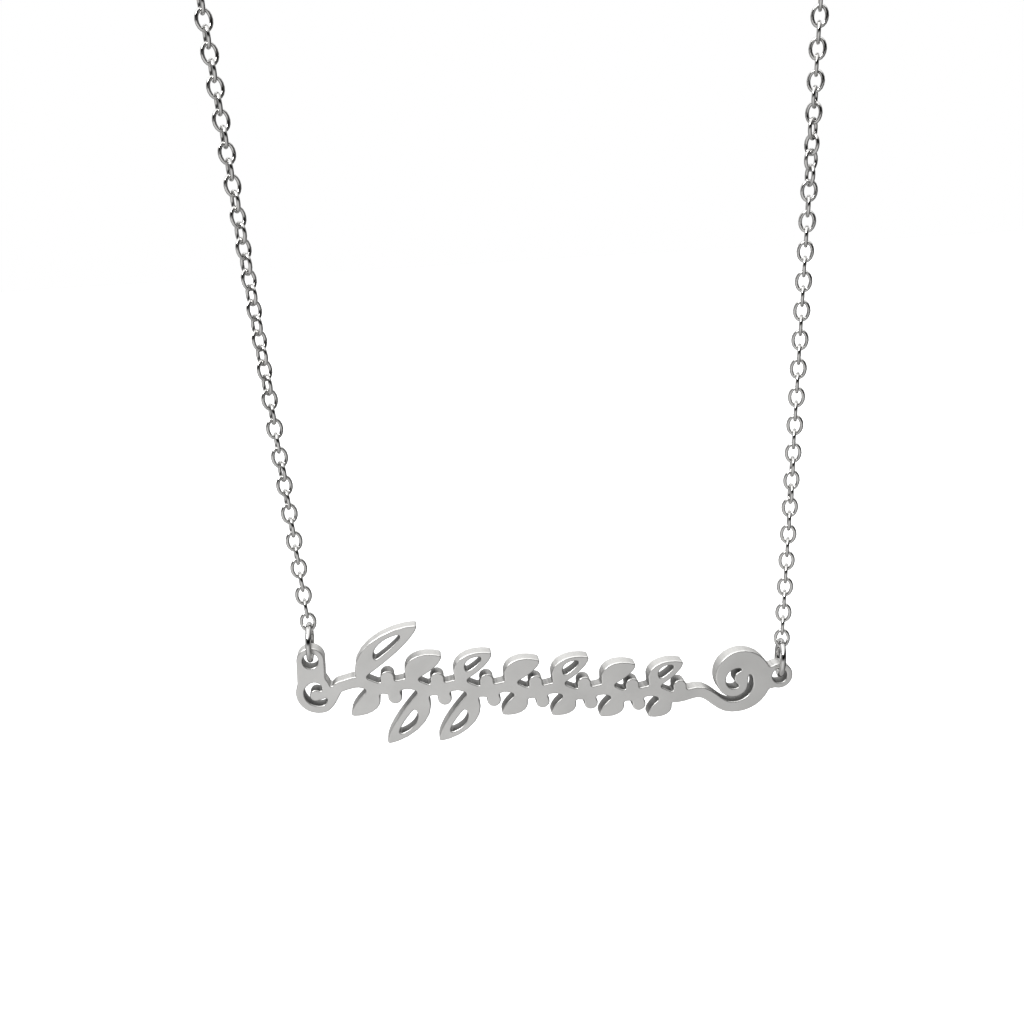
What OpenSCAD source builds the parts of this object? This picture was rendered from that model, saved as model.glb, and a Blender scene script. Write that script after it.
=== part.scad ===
// Nameplate necklace: a pierced vine plate on two jump rings, with two cable
// chains that run round the neck to a clasp at the nape.
// +Z is up, the plate faces -Y, and the origin is the nape, where the loop hangs.

/* [Plate] */
// Distance between the two lug bores
plate_span = 46.8; // [42:0.1:52]
// Thickness of the plate
plate_t = 1.6; // [1.3:0.1:1.7]
// How far the right end hangs lower, in degrees
plate_tilt = 7.2; // [0:0.1:9]
// Outer diameter of each lug
lug_d = 2.7; // [2.5:0.05:3]
// Bore of each lug
lug_bore = 1.5; // [1.35:0.05:1.7]

/* [Vine] */
// How far the stem's middle line lies below the lug bores
stem_drop = 2.35; // [2:0.05:2.8]
// Width of the stem
stem_w = 1.15; // [0.9:0.05:1.3]
// Height of the stem's wave above its middle line
wave_h = 0.32; // [0.1:0.02:0.5]
// Length of a full leaf
leaf_len = 6; // [5:0.1:6.6]
// Width of a full leaf
leaf_w = 2.8; // [2.4:0.1:3]
// Diameter of a berry
berry_d = 1.4; // [1.1:0.05:1.5]
// Length of a berry's stalk
stalk_len = 1.2; // [1:0.05:1.35]
// Outer radius of the volute at the right end
volute_r = 3.5; // [3.2:0.05:3.6]
// Outer radius of the scroll at the left end
scroll_r = 2.45; // [2.3:0.05:2.6]
// Width of the volute's and the scroll's narrow ends
curl_w = 0.8; // [0.7:0.05:0.9]
// Radius that rounds every corner of the outline
corner_r = 0.16; // [0.12:0.02:0.2]

/* [Jump rings] */
// Outer diameter of a jump ring
ring_d = 3.95; // [3.7:0.05:4.4]
// Wire diameter of a jump ring
ring_wire = 0.56; // [0.44:0.02:0.6]
// How far the left ring leans out from the plate, in degrees
left_ring_lean = 5; // [0:0.5:5.5]
// How far the right ring leans in over the plate, in degrees
right_ring_lean = 2.5; // [1.5:0.5:3.5]
// How far the right ring's back turns away from the plate, in degrees
right_ring_turn = 9; // [0:0.5:9]
// How far the right ring sits off the middle of its bore, towards the plate's end
right_ring_shift = 0.15; // [0:0.01:0.15]

/* [Chain] */
// Outer length of a link
link_len = 2.17; // [2.1:0.01:2.3]
// Outer width of a link
link_w = 1.62; // [1.5:0.01:1.75]
// Wire diameter of a link
link_wire = 0.35; // [0.3:0.01:0.37]

/* [Clasp] */
// Outer length of the clasp's closed body
clasp_len = 8; // [7:0.1:9]
// Outer width of the clasp's closed body
clasp_w = 4; // [3.6:0.1:4.6]
// Bar diameter of the clasp's body
clasp_bar = 1.1; // [0.9:0.05:1.2]
// Outer diameter of the clasp's eye
eye_d = 2; // [1.9:0.05:2.4]
// Wire diameter of the clasp's eye
eye_wire = 0.5; // [0.4:0.05:0.55]
// Outer diameter of the end ring
end_ring_d = 4; // [3.8:0.05:4.4]
// Wire diameter of the end ring
end_ring_wire = 0.6; // [0.5:0.05:0.65]

/* [Hidden] */

$fn = 40;
steel = [0.72, 0.72, 0.71];
bright_steel = [0.80, 0.80, 0.80];

// Free play between wires that hang in one another
link_gap = 0.11;
seat_gap = 0.07;
// Free play between a jump ring and its lug, enough for the ring's lean, turn and shift
lug_play = 0.24;
// How far the clasp's eye sinks into its body
eye_sink = 0.25;

// The loop from the end of the straight stretch to the nape: right half,
// measured from the middle of the line through the jump rings
CHAIN_ROUTE = [
    [27.2, 0, 66], [28.6, 3, 84], [31.5, 15, 99], [31.5, 33, 109],
    [24, 51, 115], [10, 59.5, 117.5], [0, 60.5, 118]
];
nape = CHAIN_ROUTE[len(CHAIN_ROUTE) - 1];
route_steps = 12;

// The vine's bays from left to right: length, direction in degrees and
// piercing of the upper leaf, then the same of the lower leaf.
// Lengths are shares of leaf_len.
BAYS = [
    [1.36, 48, true, 0.62, -120, false],
    [0.72, 44, false, 1.14, -117, true],
    [0.78, 48, true, 1.06, -117, true],
    [0.7, 43, false, 0.52, -122, false],
    [0.76, 48, true, 0.5, -122, false],
    [0.68, 43, false, 0.5, -122, false],
    [0.72, 48, true, 0.48, -122, false]
];
bay_w = 0.104 * plate_span;
first_bay_x = -0.4 * plate_span;
stem_from_x = -0.44 * plate_span;
stem_to_x = 0.335 * plate_span;
stem_steps = 56;

// Places inside a bay, as shares of its width from the upper leaf's root
lower_leaf_at = 0.28;
upper_berry_at = 0.54;
lower_berry_at = 0.78;

// Piercing of a leaf, as shares of the leaf
slit_from = 0.33;
slit_up = 0.15;
slit_len = 0.45;
slit_w = 0.4;
// Width of a short leaf before its length adds to it, as a share of leaf_w
leaf_w_base = 0.55;
leaf_steps = 8;

// Volute at the right end: where its line starts and ends, and how it swells
volute_start = -105;
volute_turn = 505;
volute_inset = 0.75;
volute_end_r = 0.62;
volute_knob = 1.5;
volute_swell = 1;
swell_until = 0.62;
volute_steps = 44;
volute_z = -0.8;
// How far the volute and the scroll run under the lugs
lug_overlap = 0.45;
// Scroll at the left end
scroll_start = -62;
scroll_turn = -395;
scroll_end_r = 0.5;
scroll_knob = 1.2;
scroll_steps = 36;
scroll_top_z = -0.6;
scroll_shift = 0.7;
// Handles of the curves that lead from the stem into the curls,
// as shares of volute_r and of scroll_r
VOLUTE_HANDLES = [[0.29, -0.09], [-0.29, 0.08]];
SCROLL_HANDLES = [[-0.18, -0.2], [0.29, 0.2]];
joint_steps = 5;
// Width of the right lug's neck
neck_w = 2.4;
// Share of the scroll's line where the left lug's neck spreads over it
neck_from = 0.34;
neck_to = 0.58;
neck_steps = 3;

// Lean and width of a berry's stalk, as shares of its length and of the berry
stalk_lean = 0.12;
stalk_w = [0.6, 0.45];

// Twist along each chain: a link's number, counted from its jump ring, and its turn in degrees.
// The last rows set the links square to the clasp's rings again.
LEFT_TWIST = [
    [0, 6], [3, 11], [9, 19], [11, 26], [13, 15], [15, 20], [17, 36],
    [19, 41], [27, 40], [31, 22], [45, 22], [60, 0]
];
RIGHT_TWIST = [
    [0, -18], [8, -19], [11, -6], [13, -10], [15, -20], [30, -20],
    [32, -8], [34, 26], [36, 46], [38, 60], [40, 70], [60, 90]
];

half_span = plate_span / 2;
ring_r = (ring_d - ring_wire) / 2;
ring_inner_r = ring_d / 2 - ring_wire;
// Depth of a lug bore's centre below the line through the ring centres
lug_hang = sqrt(pow(ring_inner_r, 2) - pow(plate_t / 2, 2)) - lug_play + lug_bore / 2;

volute_c = [half_span - lug_d / 2 - volute_r + lug_overlap, volute_z];
scroll_c = [-half_span + scroll_shift, scroll_top_z - scroll_r];

link_r = (link_w - link_wire) / 2;
link_bar = link_len - link_w;
link_pitch = link_len - 2 * link_wire - link_gap;
eye_r = (eye_d - eye_wire) / 2;
clasp_r = (clasp_w - clasp_bar) / 2;
end_ring_r = (end_ring_d - end_ring_wire) / 2;

// Vine

function stem_z(x) = -stem_drop + wave_h * cos(360 * (x - first_bay_x) / bay_w);
function stem_at(x) = [x, stem_z(x)];
function bay_x(i, share = 0) = first_bay_x + bay_w * (i + share);

function ramp(from, to, n) = [for (i = [0:n]) from + (to - from) * i / n];

function bezier(a, b, c, d, n) = [for (i = [0:n]) let (t = i / n, s = 1 - t)
    s * s * s * a + 3 * s * s * t * b + 3 * s * t * t * c + t * t * t * d];

// The direction to the left of a line of points, at point i
function left_of(line, i) =
    let (d = line[min(i + 1, len(line) - 1)] - line[max(i - 1, 0)])
    [-d.y, d.x] / norm(d);

// A band along a line of points, with a width at each point and a round knob at its end
module stroke(line, widths, knob) {
    last = len(line) - 1;
    polygon(concat(
        [for (i = [0:last]) line[i] + widths[i] / 2 * left_of(line, i)],
        [for (i = [last:-1:0]) line[i] - widths[i] / 2 * left_of(line, i)]));
    translate(line[0]) circle(d = widths[0], $fn = 16);
    translate(line[last]) circle(d = knob, $fn = 20);
}

// A leaf along +X from its root, with its belly on the +Y side
module leaf_shape(l, w) {
    back = bezier([0, 0], [0.12 * l, 1.05 * w], [0.72 * l, 0.75 * w], [l, 0], leaf_steps);
    front = bezier([l, 0], [0.8 * l, -0.3 * w], [0.3 * l, -0.12 * w], [0, 0], leaf_steps);
    polygon(concat(back, [for (i = [1:leaf_steps - 1]) front[i]]));
}

module leaf(x, share, turn, pierced) {
    l = share * leaf_len;
    w = leaf_w * (leaf_w_base * (1 + min(share, 1)));
    translate(stem_at(x)) rotate(turn) difference() {
        leaf_shape(l, w);
        if (pierced)
            translate([slit_from * l, slit_up * w]) leaf_shape(slit_len * l, slit_w * w);
    }
}

// side is 1 above the stem and -1 below it
module berry(x, side) {
    root = stem_at(x);
    tip = root + side * stalk_len * [stalk_lean, 1];
    stroke([root, tip], stalk_w * berry_d, berry_d);
}

module volute() {
    out_r = volute_r - volute_inset;
    swell = [for (i = [0:volute_steps])
        volute_swell * pow(sin(180 * min(1, i / volute_steps / swell_until)), 2)];
    line = [for (i = [0:volute_steps])
        let (t = i / volute_steps, a = volute_start + volute_turn * t)
        volute_c + (out_r + (volute_end_r - out_r) * t + swell[i] / 2) * [cos(a), sin(a)]];
    root = stem_at(stem_to_x);
    handles = volute_r * VOLUTE_HANDLES;
    joint = bezier(root, root + handles[0], line[0] + handles[1], line[0], joint_steps);
    stroke(
        concat([for (i = [0:joint_steps - 1]) joint[i]], line),
        concat(ramp(stem_w, stem_w, joint_steps - 1), ramp(stem_w, curl_w, volute_steps) + swell),
        volute_knob);
}

// A point of the scroll's line, t runs from 0 at its start to 1 at its end
function scroll_at(t) = let (a = scroll_start + scroll_turn * t, out_r = scroll_r - curl_w / 2)
    scroll_c + (out_r + (scroll_end_r - out_r) * t) * [cos(a), sin(a)];

module scroll() {
    line = [for (i = [0:scroll_steps]) scroll_at(i / scroll_steps)];
    root = stem_at(stem_from_x);
    handles = scroll_r * SCROLL_HANDLES;
    joint = bezier(root, root + handles[0], line[0] + handles[1], line[0], joint_steps);
    stroke(
        concat([for (i = [0:joint_steps - 1]) joint[i]], line),
        concat(ramp(stem_w, curl_w, joint_steps - 1), ramp(curl_w, curl_w, scroll_steps)),
        scroll_knob);
}

// Short necks that tie the lugs to the scroll and the volute
module lug_necks() {
    roots = ramp(neck_from, neck_to, neck_steps);
    for (i = [1:neck_steps]) hull() {
        translate([-half_span, 0]) circle(d = lug_d, $fn = 40);
        for (t = [roots[i - 1], roots[i]])
            translate(scroll_at(t)) circle(d = curl_w, $fn = 16);
    }
    stroke([[half_span, 0], [half_span - lug_d / 2 - curl_w / 4, volute_z / 2]], [neck_w, neck_w], neck_w);
}

module vine() {
    stroke(
        [for (x = ramp(stem_from_x, stem_to_x, stem_steps)) stem_at(x)],
        ramp(stem_w, stem_w, stem_steps), stem_w);
    for (i = [0:len(BAYS) - 1]) {
        leaf(bay_x(i), BAYS[i][0], BAYS[i][1], BAYS[i][2]);
        leaf(bay_x(i, lower_leaf_at), BAYS[i][3], BAYS[i][4], BAYS[i][5]);
        berry(bay_x(i, upper_berry_at), 1);
        if (i < len(BAYS) - 1) berry(bay_x(i, lower_berry_at), -1);
    }
    volute();
    scroll();
}

module vine_outline() {
    offset(r = -corner_r, $fn = 16)
    offset(r = 2 * corner_r, $fn = 16)
    offset(r = -corner_r, $fn = 16) {
        vine();
        lug_necks();
    }
}

// Frames

// From the middle of the line through the jump rings to the nape
module from_nape() { translate(-nape) children(); }

// +X runs along the line through the jump rings
module hung() { from_nape() rotate([0, plate_tilt, 0]) children(); }

// A stack of axes as columns, for multmatrix
function axes(x, y, z, at) = [
    [x.x, y.x, z.x, at.x], [x.y, y.y, z.y, at.y], [x.z, y.z, z.z, at.z], [0, 0, 0, 1]];

function unit(v) = v / norm(v);

// The part of v that is square to the unit vector n
function square_to(v, n) = unit(v - (v * n) * n);

// Chain route, side is 1 on the right and -1 on the left

function mirrored(p, side) = [side * p.x, p.y, p.z];

// How far a wire's centre line lies from the middle of the link that it hangs in
function seat(wire) = link_len / 2 - link_wire - wire / 2 - seat_gap;

function ring_lean(side) = side < 0 ? left_ring_lean : right_ring_lean;
function ring_turn(side) = side < 0 ? 0 : right_ring_turn;
function ring_shift(side) = side < 0 ? 0 : right_ring_shift;
// Each ring's place on the line through their centres sets its lug bore at plate_span
function ring_x(side) = side * half_span - lug_hang * sin(ring_lean(side)) + ring_shift(side);
function ring_centre(side) = ring_x(side) * [cos(plate_tilt), 0, -sin(plate_tilt)];
function ring_top(side) = let (lean = plate_tilt - ring_lean(side))
    ring_centre(side) + ring_r * [sin(lean), 0, cos(lean)];
function lead(side) = unit(mirrored(CHAIN_ROUTE[0], side) - ring_top(side));
function first_link(side) = ring_top(side) + seat(ring_wire) * lead(side);

// The route's points, with one more before the first and after the last
function knots(side) =
    let (r = CHAIN_ROUTE, last = len(r) - 1, p = [for (q = r) mirrored(q, side)])
    concat([p[0] - norm(p[1] - p[0]) * lead(side)], p, [mirrored(p[last - 1], -1)]);

function blend(a, b, c, d, t) = 0.5 * (2 * b + t * (c - a)
    + t * t * (2 * a - 5 * b + 4 * c - d) + t * t * t * (3 * b - a - 3 * c + d));

function route(side) = let (k = knots(side)) concat([first_link(side)],
    [for (i = [1:len(k) - 3], j = [0:route_steps - 1])
        blend(k[i - 1], k[i], k[i + 1], k[i + 2], j / route_steps)],
    [k[len(k) - 2]]);

// How far along the line each of its points lies
function reaches(line, i = 1, sum = 0, out = [0]) = i == len(line) ? out
    : let (next = sum + norm(line[i] - line[i - 1]))
      reaches(line, i + 1, next, concat(out, [next]));

ROUTE_LEFT = route(-1);
ROUTE_RIGHT = route(1);
REACH_LEFT = reaches(ROUTE_LEFT);
REACH_RIGHT = reaches(ROUTE_RIGHT);

function line_of(side) = side < 0 ? ROUTE_LEFT : ROUTE_RIGHT;
function reach_of(side) = side < 0 ? REACH_LEFT : REACH_RIGHT;

function point_at(side, s) = let (line = line_of(side), r = reach_of(side))
    [for (axis = [0:2]) lookup(s, [for (i = [0:len(line) - 1]) [r[i], line[i][axis]]])];

// The clasp fills what the two chains leave open at the nape
clasp_gap = seat(eye_wire) + 2 * eye_r + (eye_wire + clasp_bar) / 2 - eye_sink
    + clasp_len - clasp_bar - (clasp_bar + end_ring_wire) / 2 - seat_gap
    + 2 * end_ring_r + seat(end_ring_wire);
full_reach = (REACH_LEFT[len(REACH_LEFT) - 1] + REACH_RIGHT[len(REACH_RIGHT) - 1] - clasp_gap) / 2;
// An odd number of steps sets the last links square to the clasp's rings
link_steps = 2 * round((full_reach / link_pitch - 1) / 2) + 1;
step = full_reach / link_steps;

function smooth(t) = let (u = max(0, min(1, t))) u * u * (3 - 2 * u);

function twist(side, i) = lookup(i, side < 0 ? LEFT_TWIST : RIGHT_TWIST);

// The outward direction turns from the front to the nape
function outward(side, s) =
    let (turn = 180 * smooth((s - CHAIN_ROUTE[0].z) / (full_reach - CHAIN_ROUTE[0].z)))
    [side * sin(turn), -cos(turn), 0];

function tangent_at(side, s) = unit(point_at(side, s + step / 2) - point_at(side, s - step / 2));

function link_axes(side, i) =
    let (s = i * step, z = tangent_at(side, s), y = square_to(outward(side, s), z))
    axes(cross(y, z), y, z, point_at(side, s));

// Metalwork

// A ring of wire about the Z axis
module wire_ring(r, wire) {
    rotate_extrude() translate([r, 0]) circle(d = wire, $fn = 16);
}

// A closed oval of wire in the XZ plane, long in Z
module wire_oval(r, bar, wire) {
    for (end = [-1, 1])
        translate([0, 0, end * bar / 2]) rotate([end * 90, 0, 0])
            rotate_extrude(angle = 180) translate([r, 0]) circle(d = wire, $fn = 16);
    for (end = [-1, 1])
        translate([end * r, 0, -bar / 2]) cylinder(d = wire, h = bar, $fn = 16);
}

module nameplate() color(steel) hung() translate([0, 0, -lug_hang]) difference() {
    union() {
        rotate([90, 0, 0]) linear_extrude(plate_t, center = true) vine_outline();
        for (side = [-1, 1])
            translate([side * half_span, 0, 0]) rotate([90, 0, 0])
                cylinder(d = lug_d, h = plate_t, center = true);
    }
    for (side = [-1, 1])
        translate([side * half_span, 0, 0]) rotate([90, 0, 0])
            cylinder(d = lug_bore, h = 2 * plate_t, center = true);
}

module jump_ring(side) color(bright_steel) hung()
    translate([ring_x(side), 0, 0]) rotate([0, 90 - ring_lean(side), -ring_turn(side)])
        wire_ring(ring_r, ring_wire);

module jump_ring_left() jump_ring(-1);
module jump_ring_right() jump_ring(1);

module chain(side) color(bright_steel) from_nape()
    for (i = [0:link_steps])
        multmatrix(link_axes(side, i)) rotate([0, 0, 90 * i + twist(side, i)])
            wire_oval(link_r, link_bar, link_wire);

module chain_left() chain(-1);
module chain_right() chain(1);

// The clasp's own axes: +Z runs from the left chain's last link to the right one's
module at_clasp() {
    from = point_at(-1, full_reach);
    to = point_at(1, full_reach);
    z = unit(to - from);
    y = square_to([0, 1, 0], z);
    from_nape() multmatrix(axes(cross(y, z), y, z, (from + to) / 2))
        translate([0, 0, -clasp_gap / 2]) children();
}

eye_z = seat(eye_wire) + eye_r;
clasp_z = eye_z + eye_r + (eye_wire + clasp_bar) / 2 - eye_sink + (clasp_len - clasp_bar) / 2;
end_ring_z = clasp_gap - seat(end_ring_wire) - end_ring_r;

module clasp() color(steel) at_clasp() {
    translate([0, 0, eye_z]) rotate([90, 0, 0]) wire_ring(eye_r, eye_wire);
    translate([0, 0, clasp_z]) wire_oval(clasp_r, clasp_len - clasp_w, clasp_bar);
}

module end_ring() color(bright_steel) at_clasp()
    translate([0, 0, end_ring_z]) rotate([0, 90, 0]) wire_ring(end_ring_r, end_ring_wire);

nameplate();
jump_ring_left();
jump_ring_right();
chain_left();
chain_right();
clasp();
end_ring();
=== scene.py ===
# Nameplate necklace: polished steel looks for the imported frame.
# The plate, its rings and the chains are built round the frame's own nodes.
import math

import bmesh
import bpy
import numpy as np
from mathutils import Matrix, Vector
from mathutils.bvhtree import BVHTree


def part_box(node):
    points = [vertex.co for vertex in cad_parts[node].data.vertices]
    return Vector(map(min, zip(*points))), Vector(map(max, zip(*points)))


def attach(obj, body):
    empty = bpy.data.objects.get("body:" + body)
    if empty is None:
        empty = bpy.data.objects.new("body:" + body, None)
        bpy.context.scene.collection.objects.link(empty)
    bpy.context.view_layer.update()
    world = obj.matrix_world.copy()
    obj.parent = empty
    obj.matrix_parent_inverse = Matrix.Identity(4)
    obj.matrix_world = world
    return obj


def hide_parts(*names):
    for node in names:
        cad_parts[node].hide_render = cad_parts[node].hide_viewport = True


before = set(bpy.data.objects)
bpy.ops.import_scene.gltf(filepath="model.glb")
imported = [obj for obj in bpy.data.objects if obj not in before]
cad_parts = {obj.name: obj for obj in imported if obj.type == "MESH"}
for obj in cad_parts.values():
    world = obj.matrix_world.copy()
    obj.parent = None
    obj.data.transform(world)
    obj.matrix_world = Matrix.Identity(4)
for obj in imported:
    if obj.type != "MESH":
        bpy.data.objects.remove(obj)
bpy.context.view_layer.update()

MM = 0.001

# Sizes of the wire parts, in millimetres
LINK_LENGTH = 2.1
LINK_WIDTH = 1.62
LINK_WIRE = 0.36
RING_DIAMETER = 3.95
RING_WIRE = 0.58
END_RING_DIAMETER = 4.0
END_RING_WIRE = 0.6
# How finely the links and the rings are drawn: round the oval or ring, and round the wire
LINK_STEPS, LINK_WIRE_STEPS = 18, 7
RING_STEPS, RING_WIRE_STEPS = 200, 20
# The seam where each ring was closed, its groove painted dark as shade: its width in
# millimetres, its depth as a share of the wire's radius, and its place in degrees from the
# ring's front over its top
SEAM_WIDTH = {"left": 0.1, "right": 0.14, "end": 0.1}
SEAM_DEPTH = 0.1
SEAM_PLACE = {"left": 170, "right": 70, "end": 160}

# The radius of the plate's rounded edge in millimetres, and the steps round it
EDGE_ROUND = 0.15
EDGE_STEPS = 3
# The plate's outline: how far apart its points are and how far they are softened, in
# millimetres, which of them are kept, as 2 for every second, and their least number
OUTLINE_STEP = 0.05
OUTLINE_SOFTEN = 0.11
OUTLINE_KEEP = 2
OUTLINE_LEAST = 24
# From how far off a wall, how far and in which directions the wall's painted shade looks
# for another wall, in millimetres and degrees
SHADE_RAY_START = 0.05
SHADE_RAY_REACH = 3
SHADE_RAY_FAN = (-60, -30, 0, 30, 60)
# Points closer than WELD are one, and points within FACE_SLACK of the plate's front lie on
# it, in millimetres
WELD = 0.001
FACE_SLACK = 0.02

# The steel's surface: the scale of its broad ripple, and in millimetres how deep the wipe
# marks and the ripple are
RIPPLE_SCALE = 260
MARK_DEPTH = 0.002
RIPPLE_DEPTH = 0.02


# Small helpers for node trees

def add(tree, kind, **settings):
    node = tree.nodes.new(kind)
    for name, value in settings.items():
        setattr(node, name, value)
    return node


def math_node(tree, operation, *values):
    node = add(tree, "ShaderNodeMath", operation=operation)
    for socket, value in zip(node.inputs, values):
        if isinstance(value, (int, float)):
            socket.default_value = value
        else:
            tree.links.new(value, socket)
    return node.outputs[0]


def ramp_node(tree, value, stops):
    node = add(tree, "ShaderNodeValToRGB")
    ramp = node.color_ramp
    while len(ramp.elements) < len(stops):
        ramp.elements.new(0.5)
    for element, (place, shade) in zip(ramp.elements, stops):
        element.position = place
        element.color = (shade, shade, shade, 1) if isinstance(shade, float) else (*shade, 1)
    tree.links.new(value, node.inputs["Fac"])
    return node.outputs["Color"]


def new_object(name, mesh):
    obj = bpy.data.objects.new(name, mesh)
    bpy.context.scene.collection.objects.link(obj)
    return obj


# Steel finishes

def steel(name, colour, roughness, grain_scale, grain, ripple,
          stretch=(1, 1, 1), shade_by_openness=None):
    """Polished steel with fine wipe marks, softly varied gloss and a slight ripple.
    The attribute it is given, 0 where other walls close in and 1 in the open, adds painted
    shade."""
    material = bpy.data.materials.new(name)
    material.use_nodes = True
    tree = material.node_tree
    shader = tree.nodes["Principled BSDF"]
    shader.inputs["Metallic"].default_value = 1
    place = add(tree, "ShaderNodeTexCoord").outputs["Object"]
    stretched = add(tree, "ShaderNodeMapping")
    stretched.inputs["Scale"].default_value = stretch
    tree.links.new(place, stretched.inputs["Vector"])

    fine = add(tree, "ShaderNodeTexNoise")
    fine.inputs["Scale"].default_value = grain_scale
    fine.inputs["Detail"].default_value = 5
    tree.links.new(stretched.outputs["Vector"], fine.inputs["Vector"])
    broad = add(tree, "ShaderNodeTexNoise")
    broad.inputs["Scale"].default_value = RIPPLE_SCALE
    broad.inputs["Detail"].default_value = 2
    tree.links.new(place, broad.inputs["Vector"])

    low = tuple(c * 0.94 for c in colour)
    high = tuple(min(1, c * 1.05) for c in colour)
    tint = ramp_node(tree, broad.outputs["Fac"], [(0.3, low), (0.5, colour), (0.7, high)])
    # Painted shade: the colour is darkened where other walls close round the steel
    if shade_by_openness:
        reached = add(tree, "ShaderNodeAttribute", attribute_name=shade_by_openness).outputs["Fac"]
        both = add(tree, "ShaderNodeMix", data_type="RGBA", blend_type="MULTIPLY")
        both.inputs["Factor"].default_value = 1
        tree.links.new(tint, both.inputs["A"])
        tree.links.new(ramp_node(tree, reached, PAINTED_SHADE_STOPS), both.inputs["B"])
        tint = both.outputs["Result"]
    tree.links.new(tint, shader.inputs["Base Color"])
    gloss = add(tree, "ShaderNodeMapRange")
    gloss.inputs["To Min"].default_value = roughness * 0.8
    gloss.inputs["To Max"].default_value = roughness * 1.25
    tree.links.new(fine.outputs["Fac"], gloss.inputs["Value"])
    tree.links.new(gloss.outputs["Result"], shader.inputs["Roughness"])

    marks = add(tree, "ShaderNodeBump")
    marks.inputs["Strength"].default_value = grain
    marks.inputs["Distance"].default_value = MARK_DEPTH * MM
    tree.links.new(fine.outputs["Fac"], marks.inputs["Height"])
    waves = add(tree, "ShaderNodeBump")
    waves.inputs["Strength"].default_value = ripple
    waves.inputs["Distance"].default_value = RIPPLE_DEPTH * MM
    tree.links.new(broad.outputs["Fac"], waves.inputs["Height"])
    tree.links.new(waves.outputs["Normal"], marks.inputs["Normal"])
    tree.links.new(marks.outputs["Normal"], shader.inputs["Normal"])
    return material


# Painted shade: what is left of the steel's brightness, by how open a wall is to other walls
PAINTED_SHADE_STOPS = [(0.15, 0.32), (0.5, 0.52), (0.85, 1.0)]

FACE_STEEL = steel("satin steel face", (0.675, 0.67, 0.656), roughness=0.34,
                   grain_scale=3000, grain=0.05, ripple=0.1)
# The walls are painted darker where other walls close round them, as painted shade
WALL_STEEL = steel("cut steel wall", (0.66, 0.655, 0.64), roughness=0.5,
                   grain_scale=5000, grain=0.3, ripple=0.2, stretch=(1, 0.08, 1),
                   shade_by_openness="shade_by_openness")
WIRE_STEEL = steel("bright steel wire", (0.56, 0.555, 0.545), roughness=0.05,
                   grain_scale=3000, grain=0.08, ripple=0.08)
# Painted shade: near-black steel for the ring seams' grooves
SEAM_SHADE = steel("painted seam shade", (0.05, 0.048, 0.045), roughness=0.5,
                   grain_scale=5000, grain=0.3, ripple=0.2)


# Wire parts, each found from its node in the frame

def shape_tree(name, **inputs):
    """An empty Geometry Nodes tree, and the inputs that it takes besides its geometry."""
    tree = bpy.data.node_groups.new(name, "GeometryNodeTree")
    for label, kind in {"Geometry": "Geometry", **inputs}.items():
        tree.interface.new_socket(label.replace("_", " "), in_out="INPUT",
                                  socket_type="NodeSocket" + kind)
    tree.interface.new_socket("Geometry", in_out="OUTPUT", socket_type="NodeSocketGeometry")
    return tree, add(tree, "NodeGroupInput").outputs


def round_wire(tree, given, line):
    """Round wire along a line."""
    section = add(tree, "GeometryNodeCurvePrimitiveCircle")
    tree.links.new(given["Steps round the wire"], section.inputs["Resolution"])
    half = math_node(tree, "MULTIPLY", given["Wire"], 0.5)
    tree.links.new(half, section.inputs["Radius"])
    wire = add(tree, "GeometryNodeCurveToMesh")
    tree.links.new(line, wire.inputs["Curve"])
    tree.links.new(section.outputs["Curve"], wire.inputs["Profile Curve"])
    return wire.outputs["Mesh"]


def wire_shape_tree():
    """Geometry Nodes: a closed oval of round wire at every point, turned as the point says."""
    tree, given = shape_tree("wire ovals", Length="Float", Width="Float", Wire="Float",
                             Steps_round_the_oval="Int", Steps_round_the_wire="Int",
                             Steel="Material")
    link = tree.links.new

    line = add(tree, "GeometryNodeCurvePrimitiveCircle")
    link(given["Steps round the oval"], line.inputs["Resolution"])
    line.inputs["Radius"].default_value = 1
    # The circle is drawn out to the wire's middle line, wide in X and long in Y
    reach = add(tree, "ShaderNodeCombineXYZ")
    for axis, size in (("X", "Width"), ("Y", "Length")):
        span = math_node(tree, "SUBTRACT", given[size], given["Wire"])
        link(math_node(tree, "MULTIPLY", span, 0.5), reach.inputs[axis])
    drawn = add(tree, "ShaderNodeVectorMath", operation="MULTIPLY")
    link(add(tree, "GeometryNodeInputPosition").outputs[0], drawn.inputs[0])
    link(reach.outputs[0], drawn.inputs[1])
    oval = add(tree, "GeometryNodeSetPosition")
    link(line.outputs["Curve"], oval.inputs["Geometry"])
    link(drawn.outputs[0], oval.inputs["Position"])
    wire = round_wire(tree, given, oval.outputs["Geometry"])
    placed = placed_wire(tree, given, wire)
    link(placed, add(tree, "NodeGroupOutput").inputs["Geometry"])
    return tree


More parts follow.
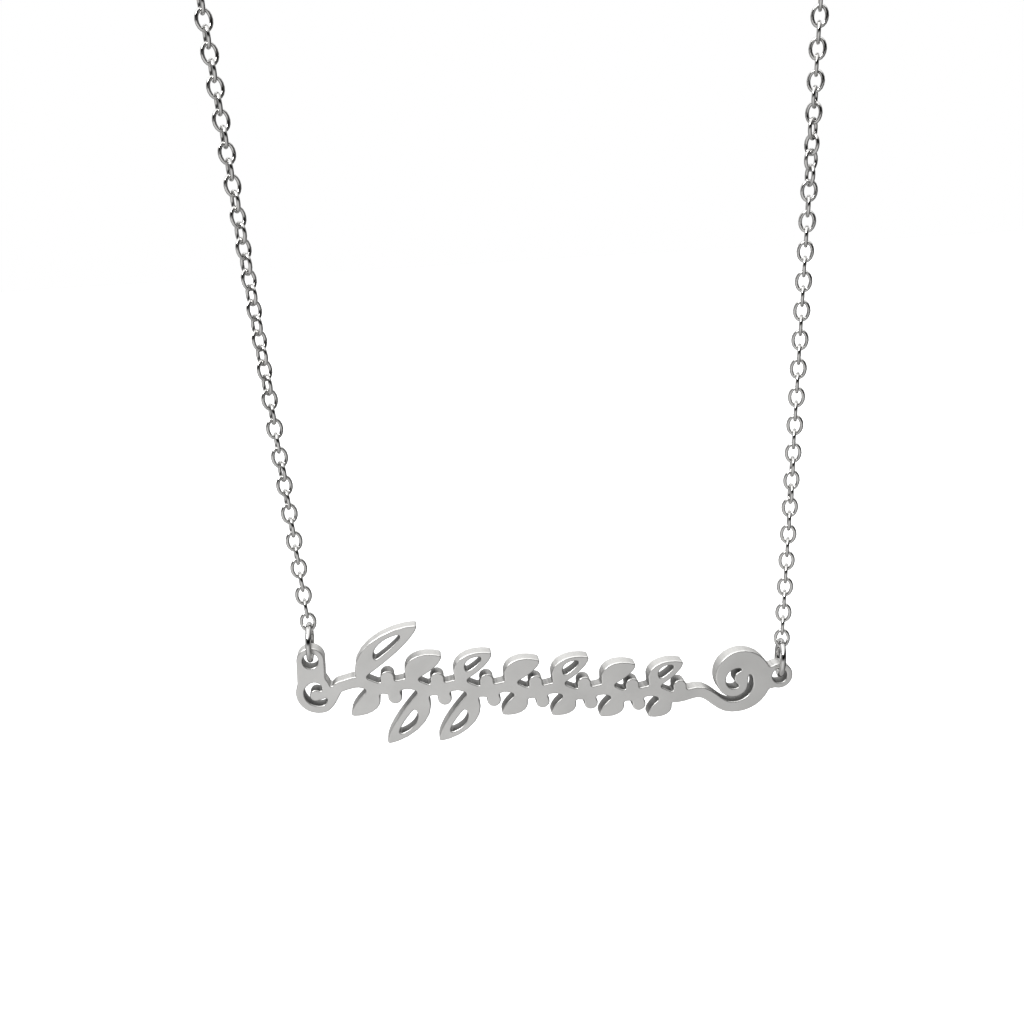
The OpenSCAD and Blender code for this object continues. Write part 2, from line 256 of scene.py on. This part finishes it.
def seamed_ring_tree():
    """Geometry Nodes: a ring of round wire at every point, with a seam across it painted dark as
    shade.
    """
    tree, given = shape_tree("seamed ring", Diameter="Float", Wire="Float", Seam="Float",
                             Seam_depth="Float", Seam_angle="Float",
                             Steps_round_the_ring="Int", Steps_round_the_wire="Int",
                             Steel="Material", Seam_steel="Material")
    link = tree.links.new

    span = math_node(tree, "SUBTRACT", given["Diameter"], given["Wire"])
    radius = math_node(tree, "MULTIPLY", span, 0.5)
    line = add(tree, "GeometryNodeCurvePrimitiveCircle")
    link(given["Steps round the ring"], line.inputs["Resolution"])
    link(radius, line.inputs["Radius"])
    wire = round_wire(tree, given, line.outputs["Curve"])

    # Within half the seam's width of its angle, the wire is a little thinner and painted dark as
    # shade
    place = add(tree, "GeometryNodeInputPosition").outputs[0]
    parts = add(tree, "ShaderNodeSeparateXYZ")
    link(place, parts.inputs[0])
    angle = math_node(tree, "ARCTAN2", parts.outputs["Y"], parts.outputs["X"])
    past = math_node(tree, "SUBTRACT", angle, given["Seam angle"])
    turned = math_node(tree, "WRAP", past, math.pi, -math.pi)
    along = math_node(tree, "MULTIPLY", math_node(tree, "ABSOLUTE", turned), radius)
    inside = math_node(tree, "LESS_THAN", along, math_node(tree, "MULTIPLY", given["Seam"], 0.5))
    flat = add(tree, "ShaderNodeCombineXYZ")
    link(parts.outputs["X"], flat.inputs["X"])
    link(parts.outputs["Y"], flat.inputs["Y"])
    outward = add(tree, "ShaderNodeVectorMath", operation="NORMALIZE")
    link(flat.outputs[0], outward.inputs[0])
    centre = add(tree, "ShaderNodeVectorMath", operation="SCALE")
    link(outward.outputs[0], centre.inputs[0])
    link(radius, centre.inputs["Scale"])
    inward = add(tree, "ShaderNodeVectorMath", operation="SUBTRACT")
    link(centre.outputs[0], inward.inputs[0])
    link(place, inward.inputs[1])
    sunk = add(tree, "ShaderNodeVectorMath", operation="SCALE")
    link(inward.outputs[0], sunk.inputs[0])
    link(math_node(tree, "MULTIPLY", inside, given["Seam depth"]), sunk.inputs["Scale"])
    groove = add(tree, "GeometryNodeSetPosition")
    link(wire, groove.inputs["Geometry"])
    link(sunk.outputs[0], groove.inputs["Offset"])
    marked = add(tree, "GeometryNodeStoreNamedAttribute", data_type="BOOLEAN", domain="FACE")
    marked.inputs["Name"].default_value = "seam"
    link(groove.outputs["Geometry"], marked.inputs["Geometry"])
    link(inside, marked.inputs["Value"])
    placed = placed_wire(tree, given, marked.outputs["Geometry"])
    mark = add(tree, "GeometryNodeInputNamedAttribute", data_type="BOOLEAN")
    mark.inputs["Name"].default_value = "seam"
    # The seam's faces get the near-black steel, as painted shade
    seam = add(tree, "GeometryNodeSetMaterial")
    link(placed, seam.inputs["Geometry"])
    link(mark.outputs["Attribute"], seam.inputs["Selection"])
    link(given["Seam steel"], seam.inputs["Material"])
    link(seam.outputs["Geometry"], add(tree, "NodeGroupOutput").inputs["Geometry"])
    return tree


def placed_wire(tree, given, wire):
    """One smooth piece of steel wire at every point, turned as the point says."""
    link = tree.links.new
    smooth = add(tree, "GeometryNodeSetShadeSmooth")
    link(wire, smooth.inputs["Geometry"])
    turn = add(tree, "GeometryNodeInputNamedAttribute", data_type="QUATERNION")
    turn.inputs["Name"].default_value = "turn"
    placed = add(tree, "GeometryNodeInstanceOnPoints")
    link(given["Geometry"], placed.inputs["Points"])
    link(smooth.outputs["Geometry"], placed.inputs["Instance"])
    link(turn.outputs["Attribute"], placed.inputs["Rotation"])
    real = add(tree, "GeometryNodeRealizeInstances")
    link(placed.outputs["Instances"], real.inputs["Geometry"])
    steel_wire = add(tree, "GeometryNodeSetMaterial")
    link(real.outputs["Geometry"], steel_wire.inputs["Geometry"])
    link(given["Steel"], steel_wire.inputs["Material"])
    return steel_wire.outputs["Geometry"]


def loose_piece_tree():
    """Geometry Nodes: joins a node's loose triangles and numbers its separate pieces."""
    tree, given = shape_tree("loose pieces")
    merge = add(tree, "GeometryNodeMergeByDistance")
    merge.inputs["Distance"].default_value = WELD * MM
    store = add(tree, "GeometryNodeStoreNamedAttribute", data_type="INT", domain="POINT")
    store.inputs["Name"].default_value = "piece"
    tree.links.new(given["Geometry"], merge.inputs["Geometry"])
    tree.links.new(merge.outputs["Geometry"], store.inputs["Geometry"])
    number = add(tree, "GeometryNodeInputMeshIsland").outputs["Island Index"]
    tree.links.new(number, store.inputs["Value"])
    tree.links.new(store.outputs["Geometry"], add(tree, "NodeGroupOutput").inputs["Geometry"])
    return tree


WIRE_OVALS = wire_shape_tree()
SEAMED_RING = seamed_ring_tree()
LOOSE_PIECES = loose_piece_tree()


def made_by(tree, name, mesh, **inputs):
    """The plain mesh that a Geometry Nodes tree makes of a mesh."""
    maker = new_object(name + " maker", mesh)
    modifier = maker.modifiers.new("nodes", "NODES")
    modifier.node_group = tree
    names = {s.name: s.identifier for s in tree.interface.items_tree if s.in_out == "INPUT"}
    for key, value in inputs.items():
        modifier[names[key.replace("_", " ")]] = value
    bpy.context.view_layer.update()
    ready = maker.evaluated_get(bpy.context.evaluated_depsgraph_get())
    result = bpy.data.meshes.new_from_object(ready)
    result.name = name
    bpy.data.objects.remove(maker)
    return result


def places(node):
    """The middle and the turn of each loose piece of a node: X wide, Y long, Z thin."""
    mesh = made_by(LOOSE_PIECES, node + " pieces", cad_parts[node].data.copy())
    count = len(mesh.vertices)
    points = np.empty(count * 3)
    mesh.vertices.foreach_get("co", points)
    points = points.reshape(count, 3)
    piece = np.empty(count, np.int32)
    mesh.attributes["piece"].data.foreach_get("value", piece)
    middles, turns = [], []
    for number in range(piece.max() + 1):
        own = points[piece == number]
        wide, long = np.linalg.eigh(np.cov(own.T))[1].T[1:]
        axes = np.column_stack([wide, long, np.cross(wide, long)])
        reach = own @ axes
        middles.append(axes @ (reach.min(0) + reach.max(0)) / 2)
        turns.append(Matrix(axes.tolist()).to_quaternion())
    return middles, turns


def wire_part(name, node, tree, middles, turns, **sizes):
    """Replaces a node by smooth wire, one piece of it at each middle."""
    points = bpy.data.meshes.new(name + " points")
    points.from_pydata([tuple(m) for m in middles], [], [])
    turn = points.attributes.new("turn", "QUATERNION", "POINT")
    turn.data.foreach_set("value", [c for q in turns for c in q])
    obj = new_object(name, made_by(tree, name, points, Steel=WIRE_STEEL, **sizes))
    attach(obj, "necklace")
    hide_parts(node)


def cable_links(side):
    middles, turns = places("chain_" + side)
    wire_part("cable_links_" + side, "chain_" + side, WIRE_OVALS, middles, turns,
              Length=LINK_LENGTH * MM, Width=LINK_WIDTH * MM, Wire=LINK_WIRE * MM,
              Steps_round_the_oval=LINK_STEPS, Steps_round_the_wire=LINK_WIRE_STEPS)


def seamed_ring(side, node, diameter, wire):
    """A ring in its node's plane, with its seam measured from its front over its top."""
    middles, turns = places(node)
    thin = turns[0] @ Vector((0, 0, 1))
    if thin.x < 0:
        thin = -thin
    up = (Vector((0, 0, 1)) - thin * thin.z).normalized()
    turn = Matrix((up.cross(thin), up, thin)).transposed().to_quaternion()
    wire_part("wire_ring_" + side, node, SEAMED_RING, middles, [turn],
              Diameter=diameter * MM, Wire=wire * MM, Seam=SEAM_WIDTH[side] * MM,
              Seam_depth=SEAM_DEPTH, Seam_angle=math.radians(180 - SEAM_PLACE[side]),
              Steps_round_the_ring=RING_STEPS, Steps_round_the_wire=RING_WIRE_STEPS,
              Seam_steel=SEAM_SHADE)


for side in ("left", "right"):
    cable_links(side)
    seamed_ring(side, "jump_ring_" + side, RING_DIAMETER, RING_WIRE)
seamed_ring("end", "end_ring", END_RING_DIAMETER, END_RING_WIRE)


# The plate, from the outline of its node

def outline_loops(node):
    """The closed lines round the plate's front, as points in X and Z, and its two faces in Y."""
    mesh = made_by(LOOSE_PIECES, node + " outline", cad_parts[node].data.copy())
    low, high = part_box(node)
    front = low[1]
    # An edge between two triangles of the face is met once in each direction
    edges = set()
    for polygon in mesh.polygons:
        if all(abs(mesh.vertices[v].co.y - front) < FACE_SLACK * MM for v in polygon.vertices):
            corners = list(polygon.vertices)
            for a, b in zip(corners, corners[1:] + corners[:1]):
                if (b, a) in edges:
                    edges.remove((b, a))
                else:
                    edges.add((a, b))
    follow = dict(edges)
    loops = []
    while follow:
        start, here = follow.popitem()
        loop = [start]
        while here != start:
            loop.append(here)
            here = follow.pop(here)
        loops.append(np.array([[mesh.vertices[v].co.x, mesh.vertices[v].co.z] for v in loop]))
    return loops, front, high[1]


def softened(loop):
    """Evenly spaced points along a closed line, with its small facets smoothed away."""
    closed = np.vstack([loop, loop[:1]])
    reach = np.concatenate([[0], np.cumsum(np.linalg.norm(np.diff(closed, axis=0), axis=1))])
    steps = int(reach[-1] / (OUTLINE_STEP * MM))
    count = max(OUTLINE_LEAST, steps // OUTLINE_KEEP * OUTLINE_KEEP)
    at = np.linspace(0, reach[-1], count, endpoint=False)
    even = np.column_stack([np.interp(at, reach, closed[:, k]) for k in (0, 1)])
    spread = OUTLINE_SOFTEN * MM / (reach[-1] / count)
    distance = np.minimum(np.arange(count), count - np.arange(count))
    kernel = np.exp(-0.5 * (distance / spread) ** 2)
    kernel /= kernel.sum()
    soft = [np.fft.irfft(np.fft.rfft(even[:, k]) * np.fft.rfft(kernel), count) for k in (0, 1)]
    return np.column_stack(soft)[::OUTLINE_KEEP]


def openness(solid, place, outward):
    """How free of other walls the plate is round a place on its edge, from 0 to 1."""
    reach = SHADE_RAY_REACH * MM
    free = 0
    for turn in SHADE_RAY_FAN:
        way = Matrix.Rotation(math.radians(turn), 3, "Y") @ outward
        hit = solid.ray_cast(place + outward * (EDGE_ROUND + SHADE_RAY_START) * MM, way, reach)
        free += reach if hit[3] is None else hit[3]
    return free / reach / len(SHADE_RAY_FAN)


def plate_piece():
    """The plate with rounded edges, satin faces and cut walls, drawn from its outline."""
    loops, front, back = outline_loops("nameplate")
    middle = (front + back) / 2
    flat = (back - front) / 2 - EDGE_ROUND * MM
    curve = bpy.data.curves.new("plate outline", "CURVE")
    curve.dimensions = "2D"
    curve.fill_mode = "BOTH"
    curve.extrude = flat
    curve.bevel_depth = EDGE_ROUND * MM
    curve.bevel_resolution = EDGE_STEPS
    curve.offset = -EDGE_ROUND * MM
    for loop in loops:
        soft = softened(loop)
        spline = curve.splines.new("POLY")
        spline.points.add(len(soft) - 1)
        spline.points.foreach_set("co", np.column_stack(
            [soft, np.zeros(len(soft)), np.ones(len(soft))]).ravel())
        spline.use_cyclic_u = True
    drawn = new_object("plate drawn", curve)
    bpy.context.view_layer.update()
    ready = drawn.evaluated_get(bpy.context.evaluated_depsgraph_get())
    mesh = bpy.data.meshes.new_from_object(ready)
    bpy.data.objects.remove(drawn)
    mesh.name = "vine_plate"
    mesh.transform(Matrix.Translation((0, middle, 0)) @ Matrix.Rotation(math.pi / 2, 4, "X"))
    mesh.materials.clear()
    mesh.materials.append(FACE_STEEL)
    mesh.materials.append(WALL_STEEL)
    welded = bmesh.new()
    welded.from_mesh(mesh)
    bmesh.ops.remove_doubles(welded, verts=welded.verts, dist=WELD * MM)
    bmesh.ops.recalc_face_normals(welded, faces=welded.faces)
    welded.to_mesh(mesh)
    solid = BVHTree.FromBMesh(welded)
    welded.free()
    for polygon in mesh.polygons:
        polygon.material_index = 0 if abs(polygon.normal.y) > 0.5 else 1
        polygon.use_smooth = True
    # Flat faces and a true quarter round between them and the walls
    normals = []
    shade_by_openness = []
    for vertex in mesh.vertices:
        depth = vertex.co.y - middle
        lift = max(0, min(1, (abs(depth) - flat) / (EDGE_ROUND * MM)))
        aside = Vector((vertex.normal.x, 0, vertex.normal.z)).normalized()
        ahead = Vector((0, math.copysign(lift, depth), 0))
        normals.append(aside * math.sqrt(1 - lift * lift) + ahead)
        # How open each wall point is to other walls, which sets the walls' painted shade
        shade_by_openness.append(openness(solid, Vector((vertex.co.x, middle, vertex.co.z)), aside))
    mesh.normals_split_custom_set_from_vertices(normals)
    mesh.attributes.new("shade_by_openness", "FLOAT", "POINT").data.foreach_set("value", shade_by_openness)
    plate = new_object("vine_plate", mesh)
    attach(plate, "plate")
    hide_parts("nameplate")


plate_piece()

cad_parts["clasp"].data.materials.clear()
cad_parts["clasp"].data.materials.append(WIRE_STEEL)


# Studio: a pale floor, a soft dome of light, a key light and the camera

# The floor: its depth below the origin in millimetres, its span in metres, and its light
FLOOR_DEPTH = 190
FLOOR_SPAN = 6
FLOOR_WHITE = 0.9
FLOOR_GLOW = 0.45

# The light of the room: its level, and how much it falls off towards the right. Then its
# parts by direction, in degrees: azimuth from the front towards the right, elevation, half
# width, half height and level; a half width of 0 means all round. A later part covers an
# earlier one.
ROOM_LEVEL = 0.88
ROOM_TILT = 0.28
ROOM_PARTS = [
    (0, 90, 0, 54, 1.85),
    (0, -90, 0, 40, 0.5),
    (158, -18, 122, 32, 0.01),
    (0, 20, 105, 20, 0.0),
    (180, -10, 40, 30, 0.65),
]


def studio_floor():
    material = bpy.data.materials.new("pale floor")
    material.use_nodes = True
    shader = material.node_tree.nodes["Principled BSDF"]
    shader.inputs["Base Color"].default_value = (FLOOR_WHITE, FLOOR_WHITE, FLOOR_WHITE, 1)
    shader.inputs["Roughness"].default_value = 0.9
    shader.inputs["Specular IOR Level"].default_value = 0
    shader.inputs["Emission Color"].default_value = (1, 1, 1, 1)
    shader.inputs["Emission Strength"].default_value = FLOOR_GLOW
    mesh = bpy.data.meshes.new("studio_floor")
    half = FLOOR_SPAN / 2
    z = -FLOOR_DEPTH * MM
    corners = [(-half, -half, z), (half, -half, z), (half, half, z), (-half, half, z)]
    mesh.from_pydata(corners, [], [(0, 1, 2, 3)])
    mesh.materials.append(material)
    floor = new_object("studio_floor", mesh)
    floor.visible_glossy = False


def studio_room():
    """Light from all round for the steel, and a plain white ground for the camera."""
    world = bpy.data.worlds.new("studio room")
    bpy.context.scene.world = world
    world.use_nodes = True
    tree = world.node_tree
    way = add(tree, "ShaderNodeSeparateXYZ")
    tree.links.new(add(tree, "ShaderNodeTexCoord").outputs["Generated"], way.inputs[0])
    front = math_node(tree, "MULTIPLY", way.outputs["Y"], -1)
    azimuth = math_node(tree, "ARCTAN2", way.outputs["X"], front)
    elevation = math_node(tree, "ARCSINE", way.outputs["Z"])
    value = ROOM_LEVEL
    for place, height, half_width, half_height, level in ROOM_PARTS:
        away = falloff(tree, elevation, height, half_height)
        if half_width:
            away = math_node(tree, "ADD", away, falloff(tree, azimuth, place, half_width))
        share = math_node(tree, "EXPONENT", math_node(tree, "MULTIPLY", away, -1))
        step = math_node(tree, "SUBTRACT", level, value)
        value = math_node(tree, "ADD", math_node(tree, "MULTIPLY", share, step), value)
    tilt = math_node(tree, "MULTIPLY_ADD", way.outputs["X"], -ROOM_TILT, 1)
    value = math_node(tree, "MULTIPLY", value, tilt)
    seen = add(tree, "ShaderNodeLightPath").outputs["Is Camera Ray"]
    background = tree.nodes["Background"]
    tree.links.new(math_node(tree, "MAXIMUM", value, seen), background.inputs["Color"])
    tree.links.new(background.outputs[0], tree.nodes["World Output"].inputs["Surface"])


def falloff(tree, angle, middle, half):
    """The fourth power of how many half widths an angle lies from the middle."""
    apart = math_node(tree, "SUBTRACT", angle, math.radians(middle))
    apart = math_node(tree, "WRAP", apart, math.pi, -math.pi)
    return math_node(tree, "POWER", math_node(tree, "DIVIDE", apart, math.radians(half)), 4)


def soft_light(name, place, aim, size, power):
    lamp = bpy.data.lights.new(name, "AREA")
    lamp.shape = "RECTANGLE"
    lamp.size, lamp.size_y = size
    lamp.energy = power
    obj = new_object(name, lamp)
    obj.location = place
    obj.rotation_euler = (Vector(aim) - Vector(place)).to_track_quat("-Z", "Y").to_euler()
    return obj


# The key light, in metres and watts
KEY_PLACE = (-0.5, -0.5, 0.5)
KEY_AIM = (0, -0.06, -0.12)
KEY_SIZE = (0.3, 0.3)
KEY_POWER = 4

# The camera's place in millimetres, its turns in degrees, and its focal length as a share
# of the picture's width
CAMERA_PLACE = (-11.78, -166.78, -76.56)
CAMERA_YAW, CAMERA_PITCH, CAMERA_ROLL = 4.69, 14.26, -3.25
FOCAL_SHARE = 1150 / 1024


def photo_camera():
    data = bpy.data.cameras.new("photo camera")
    data.sensor_width = 36
    data.lens = FOCAL_SHARE * data.sensor_width
    data.clip_start = 1 * MM
    camera = new_object("photo camera", data)
    yaw, pitch, roll = (math.radians(a) for a in (CAMERA_YAW, CAMERA_PITCH, CAMERA_ROLL))
    ahead = Vector((math.sin(yaw) * math.cos(pitch), math.cos(yaw) * math.cos(pitch),
                    -math.sin(pitch)))
    right = Vector((math.cos(yaw), -math.sin(yaw), 0))
    up = right.cross(ahead)
    tilted_right = right * math.cos(roll) + up * math.sin(roll)
    tilted_up = up * math.cos(roll) - right * math.sin(roll)
    turn = Matrix((tilted_right, tilted_up, -ahead)).transposed()
    camera.matrix_world = Matrix.Translation(Vector(CAMERA_PLACE) * MM) @ turn.to_4x4()
    bpy.context.scene.camera = camera


studio_floor()
studio_room()
soft_light("key light", KEY_PLACE, KEY_AIM, KEY_SIZE, KEY_POWER)
photo_camera()
bpy.context.scene.view_settings.view_transform = "Standard"
